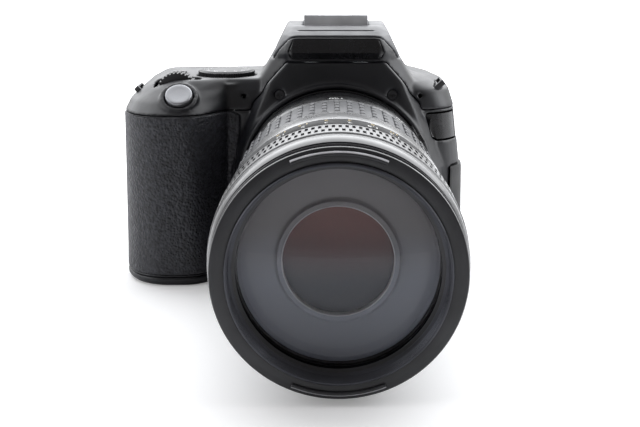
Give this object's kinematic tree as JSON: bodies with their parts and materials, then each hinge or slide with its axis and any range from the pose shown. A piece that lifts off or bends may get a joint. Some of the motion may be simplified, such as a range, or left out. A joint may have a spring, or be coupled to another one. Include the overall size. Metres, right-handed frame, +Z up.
{
  "type": "single-lens reflex camera",
  "caption": "Compact single-lens reflex camera with a fitted telephoto zoom lens, pop-up flash, hinged screen and working dials, rings, buttons and doors.",
  "frame": {"origin": "mouth of the tripod socket on the base, under the lens axis", "axes": "+Z up, the lens looks along -Y, +X to the side away from the grip"},
  "size_m": [0.1218, 0.1838, 0.0926],
  "materials": {
    "body_plastic": "fine-grained moulded black",
    "rubber": "grained black rubber",
    "gloss_panel": "smooth black",
    "black_steel": "blackened steel",
    "steel": "satin steel",
    "optical_glass": "coated optical glass",
    "mount_chrome": "polished chrome",
    "inner_plastic": "flat black",
    "mirror_glass": "front-silvered",
    "frosted": "ground translucent",
    "sensor": "filtered sensor",
    "board": "solder mask green",
    "clear_plastic": "ribbed clear",
    "spun_metal": "spun top",
    "control_plastic": "satin black",
    "barrel_plastic": "satin black"
  },
  "bodies": {
    "camera": {"front_cover": "body_plastic", "top_cover": "body_plastic", "rear_cover": "body_plastic", "bottom_cover": "body_plastic", "grip_rubber": "rubber", "front_plates": "gloss_panel", "screws": "black_steel", "strap_lugs": "black_steel", "hot_shoe": "steel", "eyecup": "rubber", "eyepiece_lens": "optical_glass", "tripod_bush": "steel", "lens_mount_ring": "mount_chrome", "mirror_box": "inner_plastic", "focusing_screen": "frosted", "pentamirror": "inner_plastic", "shutter_frame": "inner_plastic", "image_sensor": "sensor", "main_board": "board", "battery_pack": "inner_plastic", "flash_pin": "steel", "lens_bayonet": "mount_chrome", "base_barrel": "barrel_plastic", "rear_group": "optical_glass"},
    "flash": {"flash_head": "body_plastic", "flash_window": "clear_plastic"},
    "screen": {"screen_frame": "body_plastic", "screen_glass": "gloss_panel"},
    "zoom_ring": {"zoom_ring": "barrel_plastic", "zoom_rubber": "rubber"},
    "extension": {"extension_barrel": "barrel_plastic"},
    "focus_ring": {"focus_ring": "barrel_plastic"},
    "front_cell": {"front_cell": "barrel_plastic", "front_element": "optical_glass", "front_baffle": "inner_plastic", "inner_glass": "optical_glass"},
    "reflex_mirror": {"reflex_mirror": "mirror_glass"},
    "shutter_curtain": {"shutter_curtain": "black_steel"},
    "battery_door": {"battery_door": "body_plastic"},
    "shutter_button": {"shutter_button": "spun_metal"},
    "main_dial": {"main_dial": "control_plastic"},
    "mode_dial": {"mode_dial": "control_plastic"},
    "power_lever": {"power_lever": "control_plastic"},
    "iso_button": {"iso_button": "control_plastic"},
    "menu_button": {"menu_button": "control_plastic"},
    "info_button": {"info_button": "control_plastic"},
    "live_view_button": {"live_view_button": "control_plastic"},
    "lock_button": {"lock_button": "control_plastic"},
    "af_point_button": {"af_point_button": "control_plastic"},
    "exposure_button": {"exposure_button": "control_plastic"},
    "set_button": {"set_button": "control_plastic"},
    "cross_keys": {"cross_keys": "control_plastic"},
    "playback_button": {"playback_button": "control_plastic"},
    "erase_button": {"erase_button": "control_plastic"},
    "dioptre_knob": {"dioptre_knob": "control_plastic"},
    "front_terminal_door": {"front_terminal_door": "rubber"},
    "rear_terminal_door": {"rear_terminal_door": "rubber"},
    "lens_release_button": {"lens_release_button": "control_plastic"},
    "af_switch": {"af_switch": "control_plastic"}
  },
  "joints": [
    {"name": "shutter_press", "type": "slide", "parent": "camera", "child": "shutter_button", "axis": [0, 0.6455, -0.7638], "range_m": [0, 0.0012], "stiffness_N_per_m": 300},
    {"name": "main_dial_turn", "type": "hinge", "parent": "camera", "child": "main_dial", "pos_m": [-0.056, -0.01, 0.066], "axis": [0, 1, 0], "continuous": true},
    {"name": "mode_dial_turn", "type": "hinge", "parent": "camera", "child": "mode_dial", "pos_m": [-0.0396, 0.0025, 0.075], "axis": [0, 0, 1], "continuous": true},
    {"name": "power_lever_turn", "type": "hinge", "parent": "camera", "child": "power_lever", "pos_m": [-0.0396, 0.0025, 0.0694], "axis": [0, 0, -1], "range_deg": [0, 50]},
    {"name": "iso_press", "type": "slide", "parent": "camera", "child": "iso_button", "axis": [0, 0, -1], "range_m": [0, 0.0007], "stiffness_N_per_m": 300},
    {"name": "flash_lift", "type": "hinge", "parent": "camera", "child": "flash", "pos_m": [0, 0.011, 0.086], "axis": [-1, 0, 0], "range_deg": [0, 60]},
    {"name": "menu_press", "type": "slide", "parent": "camera", "child": "menu_button", "axis": [0, -1, 0], "range_m": [0, 0.0007], "stiffness_N_per_m": 300},
    {"name": "info_press", "type": "slide", "parent": "camera", "child": "info_button", "axis": [0, -1, 0], "range_m": [0, 0.0007], "stiffness_N_per_m": 300},
    {"name": "live_view_press", "type": "slide", "parent": "camera", "child": "live_view_button", "axis": [0, -1, 0], "range_m": [0, 0.0007], "stiffness_N_per_m": 300},
    {"name": "lock_press", "type": "slide", "parent": "camera", "child": "lock_button", "axis": [0, -1, 0], "range_m": [0, 0.0007], "stiffness_N_per_m": 300},
    {"name": "af_point_press", "type": "slide", "parent": "camera", "child": "af_point_button", "axis": [0, -1, 0], "range_m": [0, 0.0007], "stiffness_N_per_m": 300},
    {"name": "exposure_press", "type": "slide", "parent": "camera", "child": "exposure_button", "axis": [0, -1, 0], "range_m": [0, 0.0007], "stiffness_N_per_m": 300},
    {"name": "set_press", "type": "slide", "parent": "camera", "child": "set_button", "axis": [0, -1, 0], "range_m": [0, 0.0007], "stiffness_N_per_m": 300},
    {"name": "playback_press", "type": "slide", "parent": "camera", "child": "playback_button", "axis": [0, -1, 0], "range_m": [0, 0.0007], "stiffness_N_per_m": 300},
    {"name": "erase_press", "type": "slide", "parent": "camera", "child": "erase_button", "axis": [0, -1, 0], "range_m": [0, 0.0007], "stiffness_N_per_m": 300},
    {"name": "cross_keys_rock", "type": "hinge", "parent": "camera", "child": "cross_keys", "pos_m": [-0.0484, 0.0312, 0.031], "axis": [1, 0, 0], "range_deg": [-3, 3], "stiffness_Nm_per_rad": 0.03},
    {"name": "dioptre_turn", "type": "hinge", "parent": "camera", "child": "dioptre_knob", "pos_m": [-0.0216, 0.032, 0.069], "axis": [0, 1, 0], "range_deg": [-120, 120]},
    {"name": "screen_open", "type": "hinge", "parent": "camera", "child": "screen", "pos_m": [0.0426, 0.0326, 0.031], "axis": [0, 0, -1], "range_deg": [0, 175]},
    {"name": "battery_door_open", "type": "hinge", "parent": "camera", "child": "battery_door", "pos_m": [-0.0406, -0.004, 0.0012], "axis": [0, -1, 0], "range_deg": [0, 90]},
    {"name": "front_terminal_open", "type": "hinge", "parent": "camera", "child": "front_terminal_door", "pos_m": [0.0459, 0.0079, 0.024], "axis": [0, 0, 1], "range_deg": [0, 80]},
    {"name": "rear_terminal_open", "type": "hinge", "parent": "camera", "child": "rear_terminal_door", "pos_m": [0.0459, 0.0101, 0.024], "axis": [0, 0, -1], "range_deg": [0, 80]},
    {"name": "lens_release_press", "type": "slide", "parent": "camera", "child": "lens_release_button", "axis": [0, 1, 0], "range_m": [0, 0.0022], "stiffness_N_per_m": 400},
    {"name": "mirror_lift", "type": "hinge", "parent": "camera", "child": "reflex_mirror", "pos_m": [0, 0.013, 0.0482], "axis": [-1, 0, 0], "range_deg": [0, 45], "stiffness_Nm_per_rad": 0.002},
    {"name": "curtain_run", "type": "slide", "parent": "camera", "child": "shutter_curtain", "axis": [0, 0, -1], "range_m": [0, 0.0174]},
    {"name": "af_switch_slide", "type": "slide", "parent": "camera", "child": "af_switch", "axis": [0, -1, 0], "range_m": [0, 0.0034]},
    {"name": "barrel_extend", "type": "slide", "parent": "camera", "child": "extension", "axis": [0, -1, 0], "range_m": [0, 0.044]},
    {"name": "zoom_turn", "type": "hinge", "parent": "camera", "child": "zoom_ring", "pos_m": [0, -0.062, 0.036], "axis": [0, 1, 0], "range_deg": [0, 75]},
    {"name": "focus_turn", "type": "hinge", "parent": "extension", "child": "focus_ring", "pos_m": [0, -0.122, 0.036], "axis": [0, 1, 0], "range_deg": [0, 120]},
    {"name": "front_cell_extend", "type": "slide", "parent": "focus_ring", "child": "front_cell", "axis": [0, -1, 0], "range_m": [0, 0.006]}
  ],
  "couplings": [
    {"joint": "zoom_turn", "follows": "barrel_extend", "rad_per_m": 29.75},
    {"joint": "front_cell_extend", "follows": "focus_turn", "m_per_rad": 0.0028648}
  ]
}
